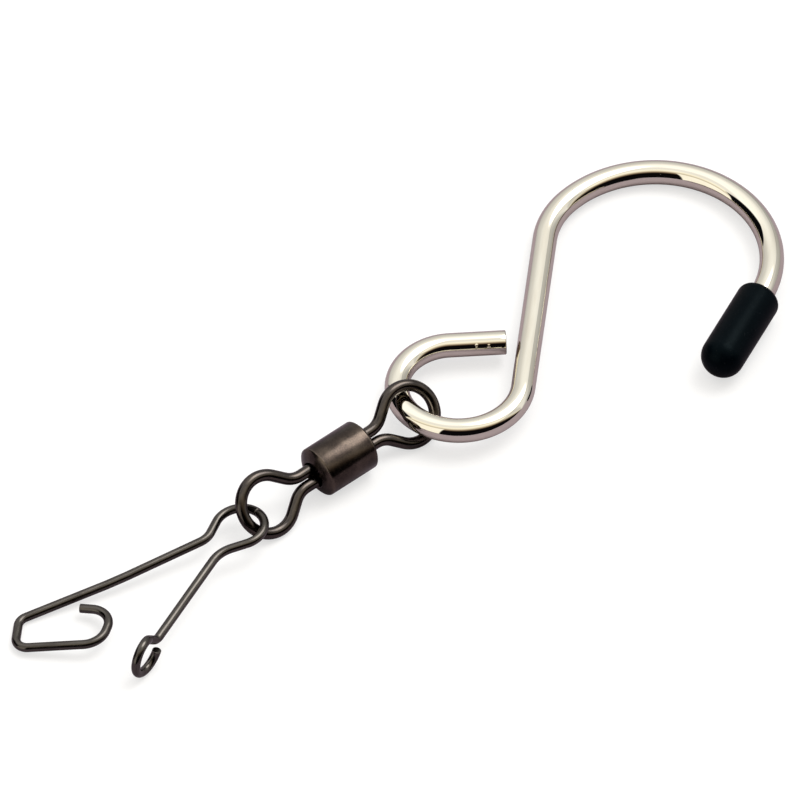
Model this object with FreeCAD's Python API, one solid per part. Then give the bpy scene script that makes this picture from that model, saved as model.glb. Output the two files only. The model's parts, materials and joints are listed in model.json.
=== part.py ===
import FreeCAD, Part
import math
import os

# A hanging swivel hook: a plated S-hook with a rubber tip, a barrel swivel and a
# spring-wire snap, lying at rest on a flat surface. Millimetres and degrees.
# +Z is up, +X runs along the length towards the rubber tip, and the origin is the
# middle of the footprint, on the surface.

# S-hook, bent from round wire, given in order from its cut end
HOOK_WIRE = 3.2
CUT_END_RUN = 7.4
LOOP_RADIUS_ENTRY = 7.3
LOOP_RADIUS_EXIT = 8.4
LOOP_BEND = 130.0
SHANK_RUN = 26.2
SHOULDER_RADIUS = 11.8
SHOULDER_BEND = 36.0
CROWN_RADIUS = 15.3
CROWN_BEND = 163.0
CUT_END_HEADING = 183.7
HOOK_NOSE_DOWN = 2.9
HOOK_SIDE_UP = 0.58
HOOK_EDGE_BREAK = 0.15

# Rubber cap pushed over the tip of the S-hook
CAP_DIAMETER = 5.8
CAP_LENGTH = 14.4
CAP_GRIP = 9.5
CAP_AIR_GAP = 0.5
CAP_MOUTH_ROUND = 1.1

# Swivel barrel, drawn in to a shallow nose at both ends round the eye heads
BARREL_DIAMETER = 6.9
BARREL_LENGTH = 8.8
BARREL_NOSE_DEPTH = 0.75
BARREL_NOSE_BULGE = (5.7, 0.45)
BARREL_LIP_DIAMETER = 4.1
BARREL_MOUTH = 3.6
BARREL_BORE = 5.3
BARREL_END_WALL = 0.9
BARREL_HEADING = 39.35

# Swivel eyes: ring, two straight sides and two parallel legs that end in a head
EYE_WIRE = 1.6
RING_RADIUS = 3.8
EYE_HALF_ANGLE = 41.3
EYE_NECK_RADIUS = 3.2
LEG_OFFSET = 0.85
HEAD_DIAMETER = 5.16
HEAD_THICKNESS = 1.4
HEAD_END_GAP = 0.05
LEG_OUTSIDE = 1.67
UPPER_EYE_PUSHED_IN = 0.45
RING_TILT = 43.5
UPPER_RING_SHIFT = -0.15

# Spring-wire snap: bow, hook arm and eye arm
SNAP_WIRE = 1.2
BOW_RADIUS = 3.25
BOW_BEND = 230.0
BOW_EYE_SIDE = 84.0
BOW_RUN = 2.1
HOOK_NECK_RADIUS = 2.9
HOOK_NECK_BEND = 40.0
HOOK_ARM_RUN = 10.9
HOOK_ARM_SPRING_RADIUS = 40.0
HOOK_ARM_SPRING_BEND = 4.0
HOOK_ARM_TAIL_RUN = 11.5
HOOK_CORNER_RADIUS = 1.6
HOOK_CORNER_BENDS = (60.3, 94.2)
HOOK_CORNER_RUN = 2.3
HOOK_BACK_RUN = 7.2
HOOK_TURN_RADIUS = 3.0
HOOK_TURN_BEND = 74.2
HOOK_TURN_RUN = 0.7
HOOK_TIP_RADIUS = 2.6
HOOK_TIP_BEND = 95.7
HOOK_TIP_RUN = 1.7
EYE_NECK_BEND = 43.6
EYE_NECK_BEND_RADIUS = 4.3
EYE_ARM_RUN = 14.3
EYE_KINK_RADIUS = 1.3
EYE_KINK_BEND = 45.0
EYE_KINK_ASIDE = 8.0
EYE_KINK_RETURN = 16.0
EYE_KINK_RUN = 1.15
EYE_COIL_RADIUS = 2.25
EYE_COIL_BEND = 300.0
EYE_COIL_STEPS = 5
EYE_COIL_TWIST = 26.0
FLEX_GAP = 0.22
SNAP_YAW = 204.0
SNAP_DIP = 4.6
SNAP_LEAN = 6.6
BOW_BEYOND_RING = 1.13
BOW_ASIDE = 0.32
BOW_HEIGHT = 3.02

UP = FreeCAD.Vector(0, 0, 1)
WEST_TO_EAST = FreeCAD.Vector(1, 0, 0)
BARREL_AXIS = FreeCAD.Rotation(UP, BARREL_HEADING).multVec(WEST_TO_EAST)
BARREL_HEIGHT = BARREL_DIAMETER / 2


def turned(vector, axis, angle):
    return FreeCAD.Rotation(axis, angle).multVec(vector)


class WireFormer:
    """Forms a wire as a bending machine does: feed, bend in a plane, roll the plane."""

    def __init__(self, point, heading, normal):
        self.point = point
        self.heading = heading
        self.normal = normal
        self.edges = []

    def feed(self, length):
        end = self.point + self.heading * length
        self.edges.append(Part.LineSegment(self.point, end).toShape())
        self.point = end

    def bend(self, radius, angle):
        side = math.copysign(radius, angle)
        centre = self.point + self.normal.cross(self.heading) * side
        spoke = self.point - centre
        middle = centre + turned(spoke, self.normal, angle / 2)
        end = centre + turned(spoke, self.normal, angle)
        self.edges.append(Part.Arc(self.point, middle, end).toShape())
        self.point = end
        self.heading = turned(self.heading, self.normal, angle)

    def roll(self, angle):
        self.normal = turned(self.normal, self.heading, angle)

    def rod(self, diameter):
        spine = Part.Wire(self.edges)
        first = self.edges[0]
        start = first.valueAt(first.FirstParameter)
        along = first.tangentAt(first.FirstParameter)
        section = Part.Wire(Part.makeCircle(diameter / 2, start, along))
        return spine.makePipeShell([section], True, False)


def with_broken_edge(solid, point, size):
    """Chamfers the round edge of a square-cut wire end whose centre is at point."""
    circles = [edge for edge in solid.Edges if isinstance(edge.Curve, Part.Circle)]
    rims = [edge for edge in circles if edge.Curve.Center.distanceToPoint(point) < size / 2]
    return solid.makeChamfer(size, rims)


def cylinder(diameter, length, point, axis):
    return Part.makeCylinder(diameter / 2, length, point, axis)


# The S-hook lies in one plane, tipped so that the crown and the cap touch the surface.
HOOK_REST = (FreeCAD.Rotation(FreeCAD.Vector(0, 1, 0), -HOOK_SIDE_UP)
             * FreeCAD.Rotation(WEST_TO_EAST, -HOOK_NOSE_DOWN))
HOOK_NORMAL = HOOK_REST.multVec(UP)
CROSSING = FreeCAD.Vector(0, 0, BARREL_HEIGHT)
# The loop's wire crosses the barrel's axis square, three quarter turns on from it.
CROSSING_BEND = BARREL_HEADING + 270 - CUT_END_HEADING


def hook_heading(angle):
    return HOOK_REST.multVec(turned(WEST_TO_EAST, UP, angle))


def cut_end_point():
    """The loop is placed so that its wire crosses the barrel's axis at CROSSING."""
    trial = WireFormer(FreeCAD.Vector(), hook_heading(CUT_END_HEADING), HOOK_NORMAL)
    trial.feed(CUT_END_RUN)
    trial.bend(LOOP_RADIUS_ENTRY, CROSSING_BEND)
    return CROSSING - trial.point


def formed_hook():
    former = WireFormer(cut_end_point(), hook_heading(CUT_END_HEADING), HOOK_NORMAL)
    former.feed(CUT_END_RUN)
    former.bend(LOOP_RADIUS_ENTRY, LOOP_BEND)
    former.bend(LOOP_RADIUS_EXIT, LOOP_BEND)
    former.feed(SHANK_RUN)
    former.bend(SHOULDER_RADIUS, -SHOULDER_BEND)
    former.bend(CROWN_RADIUS, -CROWN_BEND)
    return former


def s_hook():
    former = formed_hook()
    former.feed(CAP_GRIP)
    rod = former.rod(HOOK_WIRE)
    return with_broken_edge(rod, cut_end_point(), HOOK_EDGE_BREAK)


def tip_cap():
    former = formed_hook()
    mouth = former.point
    axis = former.heading
    radius = CAP_DIAMETER / 2
    body = cylinder(CAP_DIAMETER, CAP_LENGTH - radius, mouth, axis)
    dome = Part.makeSphere(radius, mouth + axis * (CAP_LENGTH - radius))
    bore = cylinder(HOOK_WIRE, CAP_GRIP + CAP_AIR_GAP, mouth, axis)
    near = [edge for edge in body.Edges if edge.CenterOfMass.distanceToPoint(mouth) < radius]
    rim = [edge for edge in near if edge.Closed]
    return body.makeFillet(CAP_MOUTH_ROUND, rim).fuse(dome).removeSplitter().cut(bore)


# The barrel's axis meets the middle of the upper ring at the crossing.
NECK_REACH = (RING_RADIUS * math.sin(math.radians(EYE_HALF_ANGLE))
              + EYE_NECK_RADIUS * math.sin(math.radians(EYE_HALF_ANGLE)))
SIDE_RISE = (RING_RADIUS * math.cos(math.radians(EYE_HALF_ANGLE)) - LEG_OFFSET
             - EYE_NECK_RADIUS * (1 - math.cos(math.radians(EYE_HALF_ANGLE))))
SIDE_RUN = SIDE_RISE / math.sin(math.radians(EYE_HALF_ANGLE))
RING_TO_LEGS = NECK_REACH + SIDE_RUN * math.cos(math.radians(EYE_HALF_ANGLE))
RING_TO_FACE = RING_TO_LEGS + LEG_OUTSIDE
HEAD_TO_RING = RING_TO_FACE + BARREL_END_WALL + HEAD_END_GAP
UPPER_RING_CENTRE = CROSSING + BARREL_AXIS * UPPER_RING_SHIFT
UPPER_RING_REACH = BARREL_LENGTH / 2 + RING_TO_FACE - UPPER_EYE_PUSHED_IN
BARREL_CENTRE = UPPER_RING_CENTRE - BARREL_AXIS * UPPER_RING_REACH
LOWER_RING_REACH = BARREL_LENGTH / 2 + RING_TO_FACE
LOWER_RING_CENTRE = BARREL_CENTRE - BARREL_AXIS * LOWER_RING_REACH
RING_SIDEWAYS = turned(UP.cross(BARREL_AXIS), BARREL_AXIS, RING_TILT)


def formed_eye(centre, outward):
    """Eye wire from one leg's foot, round the ring and back to the other leg's foot."""
    normal = outward.cross(RING_SIDEWAYS)
    foot = centre - outward * HEAD_TO_RING - RING_SIDEWAYS * LEG_OFFSET
    former = WireFormer(foot, outward, normal)
    leg = HEAD_TO_RING - RING_TO_LEGS
    former.feed(leg)
    former.bend(EYE_NECK_RADIUS, -EYE_HALF_ANGLE)
    former.feed(SIDE_RUN)
    former.bend(RING_RADIUS, 180 + 2 * EYE_HALF_ANGLE)
    former.feed(SIDE_RUN)
    former.bend(EYE_NECK_RADIUS, -EYE_HALF_ANGLE)
    former.feed(leg)
    return former


def swivel_eye(centre, outward):
    wire = formed_eye(centre, outward).rod(EYE_WIRE)
    feet = centre - outward * HEAD_TO_RING
    return wire.fuse(cylinder(HEAD_DIAMETER, HEAD_THICKNESS, feet, -outward))


def upper_eye():
    return swivel_eye(UPPER_RING_CENTRE, BARREL_AXIS)


def lower_eye():
    return swivel_eye(LOWER_RING_CENTRE, -BARREL_AXIS)


def barrel_cylinder(diameter, reach):
    """A cylinder on the barrel's axis that reaches the same way from its middle at both ends."""
    return cylinder(diameter, 2 * reach, BARREL_CENTRE - BARREL_AXIS * reach, BARREL_AXIS)


def barrel_point(radius, station):
    """A point of the barrel's outline, at a radius and a station from its middle."""
    return BARREL_CENTRE + BARREL_AXIS.cross(UP) * radius + BARREL_AXIS * station


def nose_arc(end):
    """The rounded nose's outline at one end, +1 or -1, from its lip to the shoulder."""
    half = BARREL_LENGTH / 2
    shoulder = half - BARREL_NOSE_DEPTH
    bulge, beyond = BARREL_NOSE_BULGE
    lip_point = barrel_point(BARREL_LIP_DIAMETER / 2, end * half)
    bulge_point = barrel_point(bulge / 2, end * (shoulder + beyond))
    shoulder_point = barrel_point(BARREL_DIAMETER / 2, end * shoulder)
    return Part.Arc(lip_point, bulge_point, shoulder_point).toShape()


def barrel_blank():
    half = BARREL_LENGTH / 2
    shoulder = half - BARREL_NOSE_DEPTH
    rim = BARREL_LIP_DIAMETER / 2
    side = BARREL_DIAMETER / 2
    straights = [((0, -half), (rim, -half)), ((side, -shoulder), (side, shoulder)),
                 ((rim, half), (0, half)), ((0, half), (0, -half))]
    edges = [Part.LineSegment(barrel_point(*one), barrel_point(*other)).toShape()
             for one, other in straights]
    outline = Part.Wire(Part.__sortEdges__(edges + [nose_arc(-1), nose_arc(1)]))
    return Part.Face(outline).revolve(BARREL_CENTRE, BARREL_AXIS, 360)


def swivel_barrel():
    half = BARREL_LENGTH / 2
    bore = barrel_cylinder(BARREL_BORE, half - BARREL_END_WALL)
    mouths = barrel_cylinder(BARREL_MOUTH, half)
    return barrel_blank().cut(bore.fuse(mouths))


# The snap's wire threads the far end of the lower ring. Its two arms flex where they
# leave the bow, and each flex point is a narrow gap between two nodes.
SNAP_REST = (FreeCAD.Rotation(UP, SNAP_YAW)
             * FreeCAD.Rotation(FreeCAD.Vector(0, 1, 0), SNAP_DIP)
             * FreeCAD.Rotation(WEST_TO_EAST, SNAP_LEAN))
SNAP_NORMAL = SNAP_REST.multVec(UP)
RING_FAR_END = LOWER_RING_CENTRE - BARREL_AXIS * RING_RADIUS
BOW_PLAN = (RING_FAR_END - BARREL_AXIS * BOW_BEYOND_RING - UP.cross(BARREL_AXIS) * BOW_ASIDE)
BOW_CENTRE = FreeCAD.Vector(BOW_PLAN.x, BOW_PLAN.y, BOW_HEIGHT)


def snap_heading(angle):
    return SNAP_REST.multVec(turned(WEST_TO_EAST, UP, angle))


def bow_side(angle, turning):
    """A former on the bow's circle at angle, heading off it; turning is +1 or -1."""
    point = BOW_CENTRE + snap_heading(angle) * BOW_RADIUS
    return WireFormer(point, snap_heading(angle + 90 * turning), SNAP_NORMAL)


def eye_side():
    return bow_side(BOW_EYE_SIDE, -1)


def hook_side():
    return bow_side(BOW_EYE_SIDE + BOW_BEND, 1)


def flex_point(former):
    return former.point + former.heading * (BOW_RUN / 2)


def snap_bow():
    start = eye_side()
    stub = (BOW_RUN - FLEX_GAP) / 2
    former = WireFormer(start.point + start.heading * stub, -start.heading, SNAP_NORMAL)
    former.feed(stub)
    former.bend(BOW_RADIUS, BOW_BEND)
    former.feed(stub)
    return former.rod(SNAP_WIRE)


def past_flex(former):
    former.point = flex_point(former) + former.heading * (FLEX_GAP / 2)
    former.feed((BOW_RUN - FLEX_GAP) / 2)
    return former


def snap_hook_arm():
    former = past_flex(hook_side())
    former.bend(HOOK_NECK_RADIUS, -HOOK_NECK_BEND)
    former.feed(HOOK_ARM_RUN)
    former.bend(HOOK_ARM_SPRING_RADIUS, -HOOK_ARM_SPRING_BEND)
    former.feed(HOOK_ARM_TAIL_RUN)
    for bend in HOOK_CORNER_BENDS:
        former.bend(HOOK_CORNER_RADIUS, bend)
        former.feed(HOOK_CORNER_RUN if bend == HOOK_CORNER_BENDS[0] else HOOK_BACK_RUN)
    former.bend(HOOK_TURN_RADIUS, HOOK_TURN_BEND)
    former.feed(HOOK_TURN_RUN)
    former.bend(HOOK_TIP_RADIUS, HOOK_TIP_BEND)
    former.feed(HOOK_TIP_RUN)
    return former.rod(SNAP_WIRE)


def formed_eye_arm():
    former = past_flex(eye_side())
    former.bend(EYE_NECK_BEND_RADIUS, EYE_NECK_BEND)
    former.feed(EYE_ARM_RUN)
    former.bend(EYE_KINK_RADIUS, -EYE_KINK_ASIDE)
    former.roll(-90)
    former.bend(EYE_KINK_RADIUS, -EYE_KINK_BEND)
    former.feed(EYE_KINK_RUN)
    former.roll(90)
    former.bend(EYE_KINK_RADIUS, EYE_KINK_RETURN)
    former.roll(-90)
    for _ in range(EYE_COIL_STEPS):
        former.bend(EYE_COIL_RADIUS, EYE_COIL_BEND / EYE_COIL_STEPS)
        former.roll(EYE_COIL_TWIST / EYE_COIL_STEPS)
    return former


def snap_eye_arm():
    return formed_eye_arm().rod(SNAP_WIRE)


PARTS = {
    "s_hook": s_hook,
    "tip_cap": tip_cap,
    "upper_eye": upper_eye,
    "swivel_barrel": swivel_barrel,
    "lower_eye": lower_eye,
    "snap_bow": snap_bow,
    "snap_hook_arm": snap_hook_arm,
    "snap_eye_arm": snap_eye_arm,
}

os.makedirs("parts", exist_ok=True)
solids = {name: make() for name, make in PARTS.items()}
whole = Part.makeCompound(list(solids.values())).optimalBoundingBox(False, False)
origin = FreeCAD.Vector(whole.Center.x, whole.Center.y, whole.ZMin)
for name, solid in solids.items():
    placed = solid.translated(-origin)
    placed.exportStep("parts/" + name + ".step")
    print(name, "valid", placed.isValid(), "volume", round(placed.Volume, 1))
print("size", round(whole.XLength, 2), round(whole.YLength, 2), round(whole.ZLength, 2))
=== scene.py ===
import json
import math

import bmesh
import bpy
from mathutils import Matrix, Vector


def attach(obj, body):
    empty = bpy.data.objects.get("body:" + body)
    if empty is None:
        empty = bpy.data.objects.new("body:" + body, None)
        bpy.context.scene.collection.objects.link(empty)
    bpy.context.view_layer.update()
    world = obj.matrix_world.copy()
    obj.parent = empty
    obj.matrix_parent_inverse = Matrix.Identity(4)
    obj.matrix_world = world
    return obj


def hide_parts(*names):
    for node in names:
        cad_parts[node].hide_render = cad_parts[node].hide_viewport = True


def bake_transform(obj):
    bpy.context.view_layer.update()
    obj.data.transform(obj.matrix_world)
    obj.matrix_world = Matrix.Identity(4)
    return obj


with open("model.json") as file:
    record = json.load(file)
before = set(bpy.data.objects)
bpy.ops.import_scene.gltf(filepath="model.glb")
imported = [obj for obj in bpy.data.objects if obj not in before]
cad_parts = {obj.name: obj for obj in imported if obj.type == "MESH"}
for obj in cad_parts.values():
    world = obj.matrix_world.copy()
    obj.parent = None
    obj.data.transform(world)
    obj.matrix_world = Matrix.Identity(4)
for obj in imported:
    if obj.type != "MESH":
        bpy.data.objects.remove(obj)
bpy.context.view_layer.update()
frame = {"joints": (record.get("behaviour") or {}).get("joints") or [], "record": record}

# A swivel hook: plated S-hook with a rubber tip, barrel swivel and spring-wire snap.
# Sizes in the dictionaries are millimetres and degrees; the scene is in metres.
mm = 0.001
up = Vector((0, 0, 1))
joints = {joint["name"]: joint for joint in frame["joints"]}
mounts = {mount["name"]: mount for mount in frame["record"]["mounts"]}


def jointPoint(name):
    return Vector(joints[name]["pos_m"])


def jointAxis(name):
    return Vector(joints[name]["axis"]).normalized()


def turned(vector, axis, degrees):
    return Matrix.Rotation(math.radians(degrees), 3, axis) @ vector


# A wire is formed as on a bending machine: feed, bend in a plane, roll the plane.
# Each point keeps its place on the wire: across it in x and y, along it in z.
def startWire(point, heading, normal, style):
    mesh = bmesh.new()
    layer = mesh.verts.layers.float_vector.new("wirePlace")
    turn = Matrix((normal.cross(heading), normal, heading)).transposed().to_4x4()
    turn.translation = point
    bmesh.ops.create_circle(mesh, segments=style["sides"], radius=style["wire"] * mm / 2,
                            matrix=turn)
    back = turn.inverted()
    for vert in mesh.verts:
        vert[layer] = back @ vert.co
    return {"mesh": mesh, "layer": layer, "rim": mesh.verts[:] + mesh.edges[:],
            "point": point.copy(), "heading": heading.copy(), "normal": normal.copy(),
            "run": 0.0, "bendStep": style["bendStep"]}


def advance(wire, length, centre, angle=0.0, shift=(0, 0, 0)):
    made = bmesh.ops.spin(wire["mesh"], geom=wire["rim"], cent=centre, axis=wire["normal"],
                          dvec=shift, angle=angle, steps=1)
    wire["rim"] = made["geom_last"]
    wire["run"] += length
    for item in wire["rim"]:
        if isinstance(item, bmesh.types.BMVert):  # the place's z is the distance along the wire
            place = item[wire["layer"]].copy()
            place.z = wire["run"]
            item[wire["layer"]] = place


def feed(wire, length, pieces=1):
    step = length * mm / pieces
    for _ in range(pieces):
        advance(wire, step, wire["point"], shift=wire["heading"] * step)
        wire["point"] = wire["point"] + wire["heading"] * step


def bend(wire, radius, degrees):
    pieces = max(1, math.ceil(abs(degrees) / wire["bendStep"]))
    side = math.copysign(radius * mm, degrees)
    centre = wire["point"] + wire["normal"].cross(wire["heading"]) * side
    step = math.radians(degrees) / pieces
    for _ in range(pieces):
        advance(wire, abs(step) * radius * mm, centre, angle=step)
    wire["point"] = centre + turned(wire["point"] - centre, wire["normal"], degrees)
    wire["heading"] = turned(wire["heading"], wire["normal"], degrees)


def roll(wire, degrees):
    wire["normal"] = turned(wire["normal"], wire["heading"], degrees)


def closeWire(wire, startBreak, endBreak):
    mesh, layer = wire["mesh"], wire["layer"]
    openEdges = [edge for edge in mesh.edges if edge.is_boundary]
    ends = bmesh.ops.holes_fill(mesh, edges=openEdges, sides=0)["faces"]
    ends.sort(key=lambda face: face.verts[0][layer].z)
    for face, size in zip(ends, (startBreak, endBreak)):
        if size:  # the cut's sharp edge is broken
            bmesh.ops.bevel(mesh, geom=face.edges[:], offset=size * mm, segments=3,
                            profile=0.5, affect="EDGES", material=-1)
    return mesh


def spunSolid(profile, point, axis, sides, closedProfile):
    mesh = bmesh.new()
    across = axis.cross(up).normalized()
    corners = [mesh.verts.new(point + (across * radius + axis * station) * mm)
               for radius, station in profile]
    for one, other in zip(corners, corners[1:] + corners[:1] * closedProfile):
        mesh.edges.new((one, other))
    bmesh.ops.spin(mesh, geom=mesh.verts[:] + mesh.edges[:], cent=point, axis=axis,
                   angle=math.tau, steps=sides, use_merge=True)
    bmesh.ops.remove_doubles(mesh, verts=mesh.verts[:], dist=1e-7)
    layer = mesh.verts.layers.float_vector.new("wirePlace")
    back = Matrix((across, axis.cross(across), axis))
    for vert in mesh.verts:
        vert[layer] = back @ (vert.co - point)
    return mesh, layer


def roundRim(mesh, layer, radius, station, size, segments):
    def onRim(vert):
        place = vert[layer] / mm
        return abs(place.xy.length - radius) < 0.01 and abs(place.z - station) < 0.01
    rim = [edge for edge in mesh.edges if all(onRim(vert) for vert in edge.verts)]
    bmesh.ops.bevel(mesh, geom=rim, offset=size * mm, segments=segments, profile=0.5,
                    affect="EDGES", material=-1)


def makePiece(name, mesh, material):
    bmesh.ops.recalc_face_normals(mesh, faces=mesh.faces[:])
    for face in mesh.faces:
        face.smooth = len(face.verts) < 5  # flat ends stay flat
    data = bpy.data.meshes.new(name)
    mesh.to_mesh(data)
    mesh.free()
    data.materials.append(material)
    piece = bpy.data.objects.new(name, data)
    bpy.context.scene.collection.objects.link(piece)
    return piece


# A socket takes either a link or a fixed value
def plug(tree, socket, value):
    if isinstance(value, bpy.types.NodeSocket):
        tree.links.new(value, socket)
    else:
        socket.default_value = value


def calc(tree, operation, *values):
    node = tree.nodes.new("ShaderNodeMath")
    node.operation = operation
    for socket, value in zip(node.inputs, values):
        plug(tree, socket, value)
    return node.outputs[0]


def vectorCalc(tree, operation, *values):
    node = tree.nodes.new("ShaderNodeVectorMath")
    node.operation = operation
    for socket, value in zip(node.inputs, values):
        plug(tree, socket, value)
    return node.outputs["Value" if operation in ("LENGTH", "DISTANCE", "DOT_PRODUCT") else 0]


def scaled(tree, vector, factor):
    node = tree.nodes.new("ShaderNodeVectorMath")
    node.operation = "SCALE"
    plug(tree, node.inputs[0], vector)
    plug(tree, node.inputs["Scale"], factor)
    return node.outputs[0]


def ramp(tree, value, low, high, start=0.0, end=1.0):
    node = tree.nodes.new("ShaderNodeMapRange")
    node.interpolation_type = "SMOOTHSTEP"
    for socket, given in zip(node.inputs, (value, low, high, start, end)):
        plug(tree, socket, given)
    return node.outputs[0]


def mixColour(tree, factor, one, other):
    node = tree.nodes.new("ShaderNodeMix")
    node.data_type = "RGBA"
    plug(tree, node.inputs[0], factor)
    plug(tree, node.inputs[6], one)
    plug(tree, node.inputs[7], other)
    return node.outputs[2]


def noise(tree, vector, scale, detail):
    node = tree.nodes.new("ShaderNodeTexNoise")
    plug(tree, node.inputs["Vector"], vector)
    plug(tree, node.inputs["Scale"], scale)
    node.inputs["Detail"].default_value = detail
    return node.outputs[0]


def split(tree, vector):
    node = tree.nodes.new("ShaderNodeSeparateXYZ")
    plug(tree, node.inputs[0], vector)
    return node.outputs


def join(tree, x, y, z):
    node = tree.nodes.new("ShaderNodeCombineXYZ")
    for socket, value in zip(node.inputs, (x, y, z)):
        plug(tree, socket, value)
    return node.outputs[0]


def newGroup(name, inputs, outputs):
    group = bpy.data.node_groups.new(name, "ShaderNodeTree")
    for label, value in inputs.items():
        kind = "NodeSocketVector" if value is None else "NodeSocketFloat"
        socket = group.interface.new_socket(label, in_out="INPUT", socket_type=kind)
        if value is not None:
            socket.default_value = value
    for label in outputs:
        group.interface.new_socket(label, in_out="OUTPUT", socket_type="NodeSocketFloat")
    given = group.nodes.new("NodeGroupInput").outputs
    return group, given, group.nodes.new("NodeGroupOutput").inputs


def useGroup(tree, group, **values):
    node = tree.nodes.new("ShaderNodeGroup")
    node.node_tree = group
    for label, value in values.items():
        plug(tree, node.inputs[label], value)
    return node.outputs


# Lengthwise drawing marks and fine grain of a plated wire
def makePlatingGrain():
    group, given, out = newGroup("platingGrain", {"Place": None, "Fineness": 3.0, "Stretch": 6.0},
                                 ("Streak", "Grain"))
    x, y, z = split(group, scaled(group, given["Place"], 1 / mm))
    drawn = join(group, x, y, calc(group, "DIVIDE", z, given["Stretch"]))
    plug(group, out["Streak"], noise(group, drawn, given["Fineness"], 3.0))
    fine = calc(group, "MULTIPLY", given["Fineness"], 4.0)
    plug(group, out["Grain"], noise(group, join(group, x, y, z), fine, 2.0))
    return group


# Sparse round pits or blisters, about Size across, in cells of Spacing
def makePits():
    group, given, out = newGroup("platingPits", {"Place": None, "Spacing": 1.5, "Size": 0.1,
                                                 "Share": 0.3}, ("Pit",))
    cells = group.nodes.new("ShaderNodeTexVoronoi")
    point = scaled(group, given["Place"], calc(group, "DIVIDE", 1 / mm, given["Spacing"]))
    plug(group, cells.inputs["Vector"], point)
    cells.inputs["Scale"].default_value = 1.0
    reach = calc(group, "MULTIPLY", cells.outputs["Distance"], given["Spacing"])
    shape = ramp(group, reach, 0.0, given["Size"], 1.0, 0.0)
    lot = split(group, cells.outputs["Color"])[0]
    chosen = calc(group, "LESS_THAN", lot, given["Share"])
    plug(group, out["Pit"], calc(group, "MULTIPLY", shape, chosen))
    return group


# Plating rubbed thin within Width of a station along the piece
def makeRimWear():
    group, given, out = newGroup("rimWear", {"Place": None, "Station": 0.0, "Width": 0.3,
                                             "Patchiness": 0.5}, ("Wear",))
    point = scaled(group, given["Place"], 1 / mm)
    off = calc(group, "ABSOLUTE", calc(group, "SUBTRACT", split(group, point)[2],
                                       given["Station"]))
    band = ramp(group, off, 0.0, given["Width"], 1.0, 0.0)
    patches = ramp(group, noise(group, point, 2.5, 3.0), 0.35, 0.65)
    thinned = calc(group, "SUBTRACT", 1.0, calc(group, "MULTIPLY", patches, given["Patchiness"]))
    plug(group, out["Wear"], calc(group, "MULTIPLY", band, thinned))
    return group


# Handling dust: a thin uneven film and a few specks
def makeDust():
    group, given, out = newGroup("handlingDust", {"Place": None, "Scale": 1.0}, ("Film", "Speck"))
    point = scaled(group, given["Place"], 1 / mm)
    plug(group, out["Film"], ramp(group, noise(group, point, given["Scale"], 4.0), 0.35, 0.75))
    fine = calc(group, "MULTIPLY", given["Scale"], 9.0)
    plug(group, out["Speck"], ramp(group, noise(group, point, fine, 1.0), 0.70, 0.78))
    return group


platingGrain, platingPits = makePlatingGrain(), makePits()
rimWear, handlingDust = makeRimWear(), makeDust()


def newMaterial(name):
    material = bpy.data.materials.new(name)
    material.use_nodes = True
    tree = material.node_tree
    place = tree.nodes.new("ShaderNodeAttribute")
    place.attribute_name = "wirePlace"
    return material, tree, tree.nodes["Principled BSDF"], place.outputs["Vector"]


def addBump(tree, shader, height, depth):
    node = tree.nodes.new("ShaderNodeBump")
    node.inputs["Strength"].default_value = 1.0
    node.inputs["Distance"].default_value = depth * mm
    plug(tree, node.inputs["Height"], height)
    tree.links.new(node.outputs[0], shader.inputs["Normal"])


nickelLook = {"colour": (0.80, 0.765, 0.665, 1), "dull": (0.76, 0.715, 0.61, 1),
              "bareSteel": (0.20, 0.13, 0.09, 1), "roughness": (0.03, 0.06),
              "grain": {"Fineness": 1.6, "Stretch": 9.0}, "streaks": (0.35, 0.75),
              "pits": {"Spacing": 1.3, "Size": 0.09, "Share": 0.12}, "pitRust": 0.5,
              "film": {"Scale": 0.35}, "cutRough": 0.3,
              "cutEdge": {"Station": 0.0, "Width": 0.16, "Patchiness": 0.4},
              "blisters": ((1.22, 1.02, 3.9), (1.30, 0.92, 2.3)), "blisterSize": 0.3,
              "depth": 0.0012, "streakRelief": 0.5, "blisterRelief": 40.0, "pitRelief": 8.0}


def makeBrightNickel():
    look = nickelLook
    material, tree, shader, place = newMaterial("brightNickel")
    grain = useGroup(tree, platingGrain, Place=place, **look["grain"])
    pit = useGroup(tree, platingPits, Place=place, **look["pits"])["Pit"]
    dust = useGroup(tree, handlingDust, Place=place, **look["film"])
    cut = useGroup(tree, rimWear, Place=place, **look["cutEdge"])["Wear"]
    blister = 0.0
    point = scaled(tree, place, 1 / mm)
    for spot in look["blisters"]:
        reach = vectorCalc(tree, "DISTANCE", point, spot)
        blister = calc(tree, "ADD", blister, ramp(tree, reach, 0.0, look["blisterSize"], 1.0, 0.0))
    streak = ramp(tree, grain["Streak"], *look["streaks"])
    colour = mixColour(tree, streak, look["colour"], look["dull"])
    rust = calc(tree, "MULTIPLY", pit, look["pitRust"])
    colour = mixColour(tree, rust, colour, look["bareSteel"])
    plug(tree, shader.inputs["Base Color"], mixColour(tree, cut, colour, look["bareSteel"]))
    rough = ramp(tree, dust["Film"], 0.0, 1.0, *look["roughness"])
    cutRough = calc(tree, "MULTIPLY", cut, look["cutRough"])
    plug(tree, shader.inputs["Roughness"], calc(tree, "ADD", rough, cutRough))
    shader.inputs["Metallic"].default_value = 1.0
    height = calc(tree, "ADD", calc(tree, "MULTIPLY", grain["Streak"], look["streakRelief"]),
                  calc(tree, "MULTIPLY", blister, look["blisterRelief"]))
    sunken = calc(tree, "MULTIPLY", pit, look["pitRelief"])
    addBump(tree, shader, calc(tree, "SUBTRACT", height, sunken), look["depth"])
    return material


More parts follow.
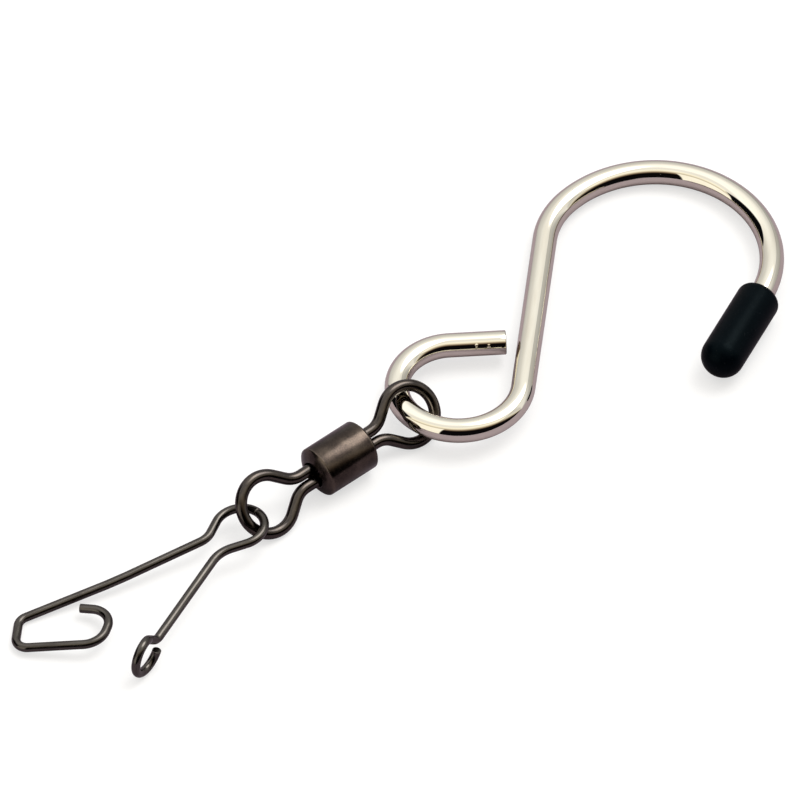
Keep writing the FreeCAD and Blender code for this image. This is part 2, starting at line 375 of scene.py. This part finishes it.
# Black nickel on the swivel's eyes and on the snap; each has its own wear
eyeLook = {"colour": (0.080, 0.068, 0.060, 1), "dark": (0.050, 0.044, 0.042, 1),
           "rubbed": (0.15, 0.125, 0.10, 1), "roughness": (0.14, 0.22),
           "grain": {"Fineness": 2.4, "Stretch": 4.0}, "depth": 0.0025}
snapLook = {"colour": (0.095, 0.087, 0.079, 1), "dark": (0.066, 0.060, 0.055, 1),
            "rubbed": (0.16, 0.14, 0.12, 1), "roughness": (0.17, 0.25),
            "grain": {"Fineness": 2.8, "Stretch": 7.0}, "depth": 0.002}
blackNickel = {"streaks": (0.35, 0.7), "rubs": (0.58, 0.72), "rubShare": 0.55,
               "pits": {"Spacing": 0.8, "Size": 0.10, "Share": 0.25}, "pitRelief": 1.2,
               "film": {"Scale": 0.8}}


def makeBlackNickel(name, look):
    both = blackNickel
    material, tree, shader, place = newMaterial(name)
    grain = useGroup(tree, platingGrain, Place=place, **look["grain"])
    pit = useGroup(tree, platingPits, Place=place, **both["pits"])["Pit"]
    dust = useGroup(tree, handlingDust, Place=place, **both["film"])
    streak = ramp(tree, grain["Streak"], *both["streaks"])
    colour = mixColour(tree, streak, look["colour"], look["dark"])
    rub = calc(tree, "MULTIPLY", ramp(tree, grain["Grain"], *both["rubs"]), both["rubShare"])
    plug(tree, shader.inputs["Base Color"], mixColour(tree, rub, colour, look["rubbed"]))
    rough = ramp(tree, dust["Film"], 0.0, 1.0, *look["roughness"])
    plug(tree, shader.inputs["Roughness"], rough)
    shader.inputs["Metallic"].default_value = 1.0
    sunken = calc(tree, "MULTIPLY", pit, both["pitRelief"])
    addBump(tree, shader, calc(tree, "SUBTRACT", grain["Streak"], sunken), look["depth"])
    return material


barrelLook = {"colour": (0.065, 0.050, 0.042, 1), "dark": (0.036, 0.029, 0.026, 1),
              "worn": (0.165, 0.132, 0.105, 1), "roughness": (0.19, 0.25),
              "grain": {"Fineness": 1.7, "Stretch": 1.0}, "mottling": (0.35, 0.68),
              "patches": (0.3, 0.7), "film": {"Scale": 0.5}, "filmShare": 0.35,
              "pits": {"Spacing": 0.6, "Size": 0.12, "Share": 0.35}, "depth": 0.004,
              "shoulder": 3.65, "shoulderWear": {"Width": 0.28, "Patchiness": 0.5},
              "wearShare": 0.6}


def makeGunmetal():
    look = barrelLook
    material, tree, shader, place = newMaterial("gunmetal")
    grain = useGroup(tree, platingGrain, Place=place, **look["grain"])
    pit = useGroup(tree, platingPits, Place=place, **look["pits"])["Pit"]
    dust = useGroup(tree, handlingDust, Place=place, **look["film"])
    wear = 0.0
    for station in (-look["shoulder"], look["shoulder"]):
        rim = useGroup(tree, rimWear, Place=place, Station=station, **look["shoulderWear"])
        wear = calc(tree, "ADD", wear, rim["Wear"])
    mottle = ramp(tree, grain["Grain"], *look["mottling"])
    colour = mixColour(tree, mottle, look["colour"], look["dark"])
    film = calc(tree, "MULTIPLY", dust["Film"], look["filmShare"])
    colour = mixColour(tree, film, colour, look["worn"])
    worn = calc(tree, "MULTIPLY", wear, look["wearShare"])
    plug(tree, shader.inputs["Base Color"], mixColour(tree, worn, colour, look["worn"]))
    rough = ramp(tree, grain["Streak"], *look["patches"], *look["roughness"])
    plug(tree, shader.inputs["Roughness"], rough)
    shader.inputs["Metallic"].default_value = 1.0
    addBump(tree, shader, calc(tree, "SUBTRACT", grain["Grain"], pit), look["depth"])
    return material


rubberLook = {"colour": (0.0002, 0.0012, 0.0023, 1), "dusty": (0.0012, 0.0028, 0.0044, 1),
              "speck": (0.03, 0.032, 0.034, 1), "roughness": (0.30, 0.38), "gloss": 0.038,
              "sheen": (0.62, 0.90, 1.0, 1), "grain": {"Fineness": 3.0, "Stretch": 1.0},
              "patches": (0.3, 0.7), "dust": {"Scale": 0.6}, "filmShare": 0.6,
              "speckShare": 0.35, "depth": 0.004}


def makeRubber():
    look = rubberLook
    material, tree, shader, place = newMaterial("mouldedRubber")
    grain = useGroup(tree, platingGrain, Place=place, **look["grain"])
    dust = useGroup(tree, handlingDust, Place=place, **look["dust"])
    film = calc(tree, "MULTIPLY", dust["Film"], look["filmShare"])
    colour = mixColour(tree, film, look["colour"], look["dusty"])
    speck = calc(tree, "MULTIPLY", dust["Speck"], look["speckShare"])
    plug(tree, shader.inputs["Base Color"], mixColour(tree, speck, colour, look["speck"]))
    rough = ramp(tree, grain["Streak"], *look["patches"], *look["roughness"])
    plug(tree, shader.inputs["Roughness"], rough)
    shader.inputs["Specular IOR Level"].default_value = look["gloss"]
    shader.inputs["Specular Tint"].default_value = look["sheen"]
    addBump(tree, shader, grain["Grain"], look["depth"])
    return material


brightNickel = makeBrightNickel()
eyeNickel = makeBlackNickel("eyeNickel", eyeLook)
snapNickel = makeBlackNickel("snapNickel", snapLook)
gunmetal = makeGunmetal()
mouldedRubber = makeRubber()
print("materials made")

# The S-hook's wire, in order from its cut end, and the cap on its tip
hookSize = {"wire": 3.2, "sides": 56, "bendStep": 2.5, "cutEnd": 7.4, "loopEntry": 7.3,
            "loopExit": 8.4, "loopBend": 130.0, "shank": 26.2, "shoulderRadius": 11.8,
            "shoulderBend": 36.0, "crownRadius": 15.3, "crownBend": 163.0, "grip": 9.5,
            "cutHeading": 183.7, "edgeBreak": 0.15, "ringShift": 0.15}
barrelAxis = jointAxis("upper_swivel_spin")
barrelCentre = jointPoint("upper_swivel_spin")
upperRing = jointPoint("upper_eye_swing")
crossing = upperRing + barrelAxis * hookSize["ringShift"] * mm
hookNormal = Vector(mounts["rail_hook"]["axis"]).normalized()
hookAcross = Vector((0, 1, 0)).cross(hookNormal).normalized()


# The loop's wire crosses the barrel's line at the crossing
def makeHookWire():
    size = hookSize
    heading = turned(hookAcross, hookNormal, size["cutHeading"])
    barrelHeading = math.degrees(math.atan2(barrelAxis.y, barrelAxis.x))
    toCrossing = barrelHeading + 270 - size["cutHeading"]
    radius = size["loopEntry"] * mm
    bendCentre = heading * size["cutEnd"] * mm + hookNormal.cross(heading) * radius
    spoke = turned(hookNormal.cross(heading) * -radius, hookNormal, toCrossing)
    wire = startWire(crossing - bendCentre - spoke, heading, hookNormal, size)
    feed(wire, size["cutEnd"], 8)
    bend(wire, size["loopEntry"], size["loopBend"])
    bend(wire, size["loopExit"], size["loopBend"])
    feed(wire, size["shank"], 12)
    bend(wire, size["shoulderRadius"], -size["shoulderBend"])
    bend(wire, size["crownRadius"], -size["crownBend"])
    mouth, tipHeading = wire["point"], wire["heading"]
    feed(wire, size["grip"], 2)
    mesh = closeWire(wire, size["edgeBreak"], size["edgeBreak"])
    return makePiece("hookWire", mesh, brightNickel), mouth, tipHeading


capSize = {"diameter": 5.8, "length": 14.4, "bore": 3.24, "boreDepth": 10.0, "mouthRound": 1.1,
           "lipRound": 0.12, "domeRound": 2.66, "sides": 72}


def makeCapSkin(mouth, heading):
    size = capSize
    outer, bore = size["diameter"] / 2, size["bore"] / 2
    profile = [(0, size["boreDepth"]), (bore, size["boreDepth"]), (bore, 0), (outer, 0),
               (outer, size["length"]), (0, size["length"])]
    mesh, layer = spunSolid(profile, mouth, heading, size["sides"], False)
    roundRim(mesh, layer, outer, size["length"], size["domeRound"], 14)
    roundRim(mesh, layer, outer, 0, size["mouthRound"], 7)
    roundRim(mesh, layer, bore, 0, size["lipRound"], 3)
    return makePiece("capSkin", mesh, mouldedRubber)


hookWire, capMouth, tipHeading = makeHookWire()
capSkin = makeCapSkin(capMouth, tipHeading)
for piece, node in ((hookWire, "s_hook"), (capSkin, "tip_cap")):
    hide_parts(node)
    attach(piece, "hook")
print("hook and cap made")

barrelSize = {"radius": 3.45, "half": 4.4, "noseDepth": 0.75, "bulge": (2.85, 0.45),
              "bulgeRound": 0.5, "lip": 2.05, "mouth": 1.8, "bore": 2.65, "endWall": 0.9,
              "shoulderRound": 0.1, "lipRound": 0.1, "sides": 80}


def makeBarrelShell():
    size = barrelSize
    half = size["half"]
    shoulder, inner = half - size["noseDepth"], half - size["endWall"]
    bulge, bulgeAt = size["bulge"][0], shoulder + size["bulge"][1]
    outside = [(size["lip"], half), (bulge, bulgeAt), (size["radius"], shoulder)]
    inside = [(size["bore"], inner), (size["mouth"], inner), (size["mouth"], half)]
    side = outside[::-1] + inside[::-1]
    profile = side + [(radius, -station) for radius, station in reversed(side)]
    mesh, layer = spunSolid(profile, barrelCentre, barrelAxis, size["sides"], True)
    for end in (-1, 1):
        roundRim(mesh, layer, bulge, end * bulgeAt, size["bulgeRound"], 8)
        roundRim(mesh, layer, size["radius"], end * shoulder, size["shoulderRound"], 2)
        roundRim(mesh, layer, size["lip"], end * half, size["lipRound"], 2)
        roundRim(mesh, layer, size["mouth"], end * half, size["lipRound"], 2)
    return makePiece("barrelShell", mesh, gunmetal)


eyeSize = {"wire": 1.6, "sides": 36, "bendStep": 5.0, "ring": 3.8, "halfAngle": 41.3,
           "neck": 3.2, "legOffset": 0.85, "legOutside": 1.67, "head": 5.16,
           "headThickness": 1.4, "headRound": 0.2, "headGap": 0.05, "tilt": 43.5}


# One leg, round the ring and back down the other leg, with a head inside the barrel
def makeEye(name, centre, outward):
    size = eyeSize
    sine, cosine = (turn(math.radians(size["halfAngle"])) for turn in (math.sin, math.cos))
    sideRun = (size["ring"] * cosine - size["legOffset"] - size["neck"] * (1 - cosine)) / sine
    toLegs = (size["ring"] + size["neck"]) * sine + sideRun * cosine
    leg = size["legOutside"] + barrelSize["endWall"] + size["headGap"]
    sideways = turned(up.cross(barrelAxis), barrelAxis, size["tilt"])
    foot = centre - outward * (toLegs + leg) * mm
    wire = startWire(foot - sideways * size["legOffset"] * mm, outward,
                     outward.cross(sideways), size)
    feed(wire, leg, 3)
    bend(wire, size["neck"], -size["halfAngle"])
    feed(wire, sideRun)
    bend(wire, size["ring"], 180 + 2 * size["halfAngle"])
    feed(wire, sideRun)
    bend(wire, size["neck"], -size["halfAngle"])
    feed(wire, leg, 3)
    mesh = closeWire(wire, 0, 0)
    turn = outward.to_track_quat("Z", "Y").to_matrix().to_4x4()
    turn.translation = foot - outward * size["headThickness"] / 2 * mm
    head = bmesh.ops.create_cone(mesh, cap_ends=True, segments=48, radius1=size["head"] / 2 * mm,
                                 radius2=size["head"] / 2 * mm,
                                 depth=size["headThickness"] * mm, matrix=turn)["verts"]
    rims = {edge for vert in head for edge in vert.link_edges
            if any(len(face.verts) > 4 for face in edge.link_faces)}
    bmesh.ops.bevel(mesh, geom=list(rims), offset=size["headRound"] * mm, segments=2,
                    profile=0.5, affect="EDGES", material=-1)
    return makePiece(name, mesh, eyeNickel)


barrelShell = makeBarrelShell()
eyeReach = (upperRing - barrelCentre).dot(barrelAxis)
pushedIn = 0.45 * mm  # the upper eye is pushed this far into the barrel
upperEyeWire = makeEye("upperEyeWire", upperRing, barrelAxis)
lowerEyeWire = makeEye("lowerEyeWire", barrelCentre - barrelAxis * (eyeReach + pushedIn),
                       -barrelAxis)
for piece, node, body in ((barrelShell, "swivel_barrel", "barrel"),
                          (upperEyeWire, "upper_eye", "top_eye"),
                          (lowerEyeWire, "lower_eye", "bottom_eye")):
    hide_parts(node)
    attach(piece, body)
print("swivel made")

snapSize = {"wire": 1.2, "sides": 32, "bendStep": 4.0, "bow": 3.25, "bowBend": 230.0,
            "flexRun": 1.05, "flexTrim": 0.1, "edgeBreak": 0.07}
hookArmSize = {"neck": 2.9, "neckBend": 40.0, "arm": 10.9, "springRadius": 40.0,
               "springBend": 4.0, "tail": 11.5, "corner": 1.6, "cornerBends": (60.3, 94.2),
               "cornerRuns": (2.3, 7.2), "turn": 3.0, "turnBend": 74.2, "turnRun": 0.7,
               "tip": 2.6, "tipBend": 95.7, "tipRun": 1.7}
eyeArmSize = {"neck": 4.3, "neckBend": 43.6, "arm": 14.3, "kink": 1.3, "kinkBend": 45.0,
              "aside": 8.0, "back": 16.0, "kinkRun": 1.15, "coil": 2.25, "coilBend": 300.0,
              "coilSteps": 5, "coilTwist": 26.0}
snapNormal = -jointAxis("snap_squeeze")
hookFlex, eyeFlex = jointPoint("snap_hook_flex"), jointPoint("snap_squeeze")


# Half of the bow and one run beyond it; both halves start at the bow's middle
def startSnapHalf(side):
    size = snapSize
    hookHeading = jointAxis("snap_hook_flex").cross(snapNormal)
    hookRadial = hookHeading.cross(snapNormal)
    centre = hookFlex - (hookHeading * size["flexRun"] + hookRadial * size["bow"]) * mm
    middle = turned(hookRadial, snapNormal, -size["bowBend"] / 2)
    wire = startWire(centre + middle * size["bow"] * mm, snapNormal.cross(middle) * side,
                     snapNormal, size)
    bend(wire, size["bow"], side * size["bowBend"] / 2)
    bowEnd, heading = wire["point"], wire["heading"]
    feed(wire, 2 * size["flexRun"], 12)
    trim = heading * size["flexTrim"] * mm  # the returned points lie just inside the run's ends
    return wire, bowEnd + trim, wire["point"] - trim


def makeSnapHookWire():
    size = hookArmSize
    wire, flexStart, flexEnd = startSnapHalf(1)
    bend(wire, size["neck"], -size["neckBend"])
    feed(wire, size["arm"], 5)
    bend(wire, size["springRadius"], -size["springBend"])
    feed(wire, size["tail"], 5)
    for angle, run in zip(size["cornerBends"], size["cornerRuns"]):
        bend(wire, size["corner"], angle)
        feed(wire, run, 2)
    bend(wire, size["turn"], size["turnBend"])
    feed(wire, size["turnRun"])
    bend(wire, size["tip"], size["tipBend"])
    feed(wire, size["tipRun"])
    mesh = closeWire(wire, 0, snapSize["edgeBreak"])
    return makePiece("snapHookWire", mesh, snapNickel), flexStart, flexEnd


def makeSnapEyeWire():
    size = eyeArmSize
    wire, flexStart, flexEnd = startSnapHalf(-1)
    bend(wire, size["neck"], size["neckBend"])
    feed(wire, size["arm"], 7)
    bend(wire, size["kink"], -size["aside"])
    roll(wire, -90)
    bend(wire, size["kink"], -size["kinkBend"])
    feed(wire, size["kinkRun"])
    roll(wire, 90)
    bend(wire, size["kink"], size["back"])
    roll(wire, -90)
    for _ in range(size["coilSteps"]):
        bend(wire, size["coil"], size["coilBend"] / size["coilSteps"])
        roll(wire, size["coilTwist"] / size["coilSteps"])
    mesh = closeWire(wire, 0, snapSize["edgeBreak"])
    return makePiece("snapEyeWire", mesh, snapNickel), flexStart, flexEnd


for made, arm, nodes in ((makeSnapHookWire(), "hook_arm", ("snap_hook_arm", "snap_bow")),
                         (makeSnapEyeWire(), "eye_arm", ("snap_eye_arm",))):
    piece, flexStart, flexEnd = made
    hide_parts(*nodes)
    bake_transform(piece)
print("snap made")

# The camera sees the floor pale, with an even painted glow that lightens its cast shadows; the
# plating mirrors it in a darker painted shade, as in a dim room
floorLook = {"size": 6.0, "seen": (0.40, 0.40, 0.405, 1), "paintedShade": (0.365, 0.312, 0.372, 1),
             "paintedGlow": (0.62, 0.62, 0.622, 1), "noGlow": (0, 0, 0, 1), "roughness": 0.9}


def makeFloor():
    mesh = bmesh.new()
    bmesh.ops.create_grid(mesh, x_segments=1, y_segments=1, size=floorLook["size"] / 2)
    data = bpy.data.meshes.new("floor")
    mesh.to_mesh(data)
    mesh.free()
    material = bpy.data.materials.new("paleFloor")
    material.use_nodes = True
    tree = material.node_tree
    shader = tree.nodes["Principled BSDF"]
    shader.inputs["Roughness"].default_value = floorLook["roughness"]
    shader.inputs["Specular IOR Level"].default_value = 0.0
    seen = tree.nodes.new("ShaderNodeLightPath").outputs["Is Camera Ray"]
    # Painted shade: reflections and bounced light see a darker mauve floor colour than the camera
    # does
    plug(tree, shader.inputs["Base Color"], mixColour(tree, seen, floorLook["paintedShade"],
                                                      floorLook["seen"]))
    # Painted glow: the floor glows for camera rays only, lightening its cast shadows; it is no
    # lamp
    plug(tree, shader.inputs["Emission Color"], mixColour(tree, seen, floorLook["noGlow"],
                                                          floorLook["paintedGlow"]))
    shader.inputs["Emission Strength"].default_value = 1.0
    data.materials.append(material)
    floor = bpy.data.objects.new("floor", data)
    bpy.context.scene.collection.objects.link(floor)


# A white tent over the table, dark in front below 48 degrees, with a window low in front
# and a dark wall beyond it on the left, a dimmer side panel with a seam, and one lamp.
# The tent's colours go by rise: from the front horizon, over the top, to the back horizon.
lightLook = {"tent": ((0, (0.003, 0.003, 0.004)), (30, (0.004, 0.003, 0.003)),
                      (42, (0.001, 0.001, 0.003)), (48, (0.13, 0.09, 0.06)),
                      (54, (0.42, 0.32, 0.22)), (63, (1.00, 0.91, 0.73)),
                      (72, (1.28, 1.24, 1.08)), (81, (1.06, 1.03, 0.98)),
                      (91, (1.04, 1.02, 0.98)), (102, (1.40, 1.38, 1.33)),
                      (122, (1.38, 1.36, 1.32)), (134, (1.14, 1.13, 1.10)),
                      (146, (0.84, 0.83, 0.81)), (161, (0.74, 0.73, 0.72)),
                      (180, (0.56, 0.56, 0.57))),
             "window": (-76.0, -26.0), "windowFoot": (1.0, 4.0), "windowTop": (50.0, 60.0),
             "windowSoft": 1.0, "pane": (1.3, 1.25, 1.12, 1), "wall": (-128.0, -76.0),
             "wallTop": (0.56, 0.64), "wallSoft": 1.5, "room": (0.003, 0.003, 0.004, 1),
             "seam": (0.646, 0.005, -0.764), "seamWidth": (0.012, 0.05), "seamDepth": 0.5,
             "sidePanel": 0.28, "panelEdge": 0.02, "lamp": (0.38, 0.30, 0.87),
             "lampReach": (0.914, 0.985), "lampPower": 4.5, "background": (0.97, 0.97, 0.97, 1)}


def between(tree, value, low, high, soft):
    rising = ramp(tree, value, low - soft, low + soft)
    return calc(tree, "MULTIPLY", rising, ramp(tree, value, high - soft, high + soft, 1.0, 0.0))


def makeLight():
    look = lightLook
    world = bpy.data.worlds.new("studio")
    bpy.context.scene.world = world
    world.use_nodes = True
    tree = world.node_tree
    shader = tree.nodes["Background"]
    direction = tree.nodes.new("ShaderNodeTexCoord").outputs["Generated"]
    x, y, z = split(tree, direction)
    toFront = calc(tree, "MULTIPLY", y, -1.0)
    rise = calc(tree, "DEGREES", calc(tree, "ARCTAN2", z, toFront))
    sideways = calc(tree, "DEGREES", calc(tree, "ARCTAN2", x, toFront))
    tent = tree.nodes.new("ShaderNodeValToRGB")
    stops = tent.color_ramp.elements
    for stop, (angle, colour) in ((stops[0], look["tent"][0]), (stops[1], look["tent"][-1])):
        stop.position = angle / 180
        stop.color = (*colour, 1)
    for angle, colour in look["tent"][1:-1]:
        stops.new(angle / 180).color = (*colour, 1)
    plug(tree, tent.inputs[0], calc(tree, "DIVIDE", rise, 180.0))
    light = tent.outputs[0]
    window = between(tree, sideways, *look["window"], look["windowSoft"])
    foot = ramp(tree, rise, *look["windowFoot"])
    head = ramp(tree, rise, *look["windowTop"], 1.0, 0.0)
    window = calc(tree, "MULTIPLY", window, calc(tree, "MULTIPLY", foot, head))
    light = mixColour(tree, window, light, look["pane"])
    wall = between(tree, sideways, *look["wall"], look["wallSoft"])
    wall = calc(tree, "MULTIPLY", wall, ramp(tree, z, *look["wallTop"], 1.0, 0.0))
    light = mixColour(tree, wall, light, look["room"])
    offSeam = vectorCalc(tree, "DOT_PRODUCT", direction, look["seam"])
    panel = ramp(tree, offSeam, -look["panelEdge"], look["panelEdge"], 0.0, look["sidePanel"])
    seam = ramp(tree, calc(tree, "ABSOLUTE", offSeam), *look["seamWidth"], look["seamDepth"], 0.0)
    light = mixColour(tree, calc(tree, "MAXIMUM", panel, seam), light, look["room"])
    facing = vectorCalc(tree, "DOT_PRODUCT", direction, Vector(look["lamp"]).normalized())
    light = scaled(tree, light, ramp(tree, facing, *look["lampReach"], 1.0, look["lampPower"]))
    shader.inputs["Strength"].default_value = 1.0
    seen = tree.nodes.new("ShaderNodeLightPath").outputs["Is Camera Ray"]
    plug(tree, shader.inputs["Color"], mixColour(tree, seen, light, look["background"]))


cameraLook = {"elevation": 51.0, "distance": 4.4, "width": 0.104, "sensor": 36.0,
              "aside": -1.24, "above": 1.78}


def makeCamera():
    look = cameraLook
    tilt = math.radians(look["elevation"])
    back = Vector((0, -math.cos(tilt), math.sin(tilt)))
    upright = Vector((0, math.sin(tilt), math.cos(tilt)))
    aim = crossing + (Vector((look["aside"], 0, 0)) + upright * look["above"]) * mm
    camera = bpy.data.cameras.new("camera")
    camera.sensor_width = look["sensor"]
    camera.lens = look["sensor"] * look["distance"] / look["width"]
    holder = bpy.data.objects.new("camera", camera)
    holder.location = aim + back * look["distance"]
    holder.rotation_euler = (math.pi / 2 - tilt, 0, 0)
    bpy.context.scene.collection.objects.link(holder)
    bpy.context.scene.camera = holder


makeFloor()
makeLight()
makeCamera()
bpy.context.scene.view_settings.view_transform = "Standard"
print("stage made")
